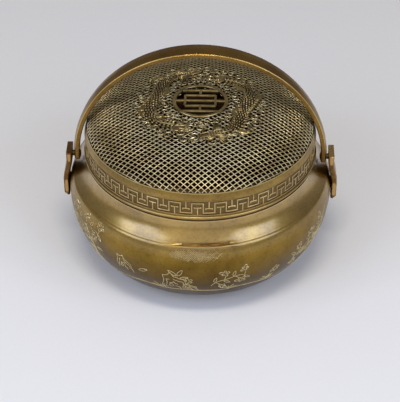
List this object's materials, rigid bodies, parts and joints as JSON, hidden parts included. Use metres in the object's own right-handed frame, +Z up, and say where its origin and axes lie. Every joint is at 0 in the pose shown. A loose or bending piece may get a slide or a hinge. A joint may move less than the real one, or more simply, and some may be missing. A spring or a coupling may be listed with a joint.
{
  "type": "charcoal hand warmer",
  "caption": "Round squat brass hand warmer with a domed lattice lid, a loose copper charcoal pan and a swinging bail handle on riveted lugs",
  "frame": {"origin": "middle of the foot, on the surface that the vessel stands on", "axes": "+X from the left lug to the right lug along the handle's axis, +Y to the back, +Z up"},
  "size_m": [0.157, 0.15, 0.134],
  "materials": {
    "aged_brass": "hand-rubbed olive-gold brass, satin",
    "brown_brass": "browner rubbed brass, satin",
    "pale_brass": "pale brass, worn bright on the high spots",
    "copper": "dull heat-darkened copper"
  },
  "bodies": {
    "vessel": {"body_shell": "aged_brass", "foot_disc": "aged_brass", "neck_collar": "aged_brass", "left_lug": "brown_brass", "right_lug": "brown_brass", "left_lug_rivets": "brown_brass", "right_lug_rivets": "brown_brass", "left_pivot_pin": "brown_brass", "right_pivot_pin": "brown_brass"},
    "handle": {"bail_arch": "brown_brass", "left_bail_end": "brown_brass", "right_bail_end": "brown_brass"},
    "lid": {"lid_band": "aged_brass", "grille_ring": "pale_brass", "grille_under_strips": "pale_brass", "grille_over_strips": "pale_brass", "roundel": "pale_brass", "left_dragon": "pale_brass", "right_dragon": "pale_brass"},
    "pan": {"charcoal_pan": "copper"}
  },
  "joints": [
    {"name": "handle_swing", "type": "hinge", "parent": "vessel", "child": "handle", "pos_m": [0, 0, 0.0622], "axis": [1, 0, 0], "range_deg": [-88, 88]},
    {"name": "lid_lift", "type": "slide", "parent": "vessel", "child": "lid", "axis": [0, 0, 1], "range_m": [0, 0.0022]},
    {"name": "pan_lift", "type": "slide", "parent": "vessel", "child": "pan", "axis": [0, 0, 1], "range_m": [0, 0.016]}
  ]
}
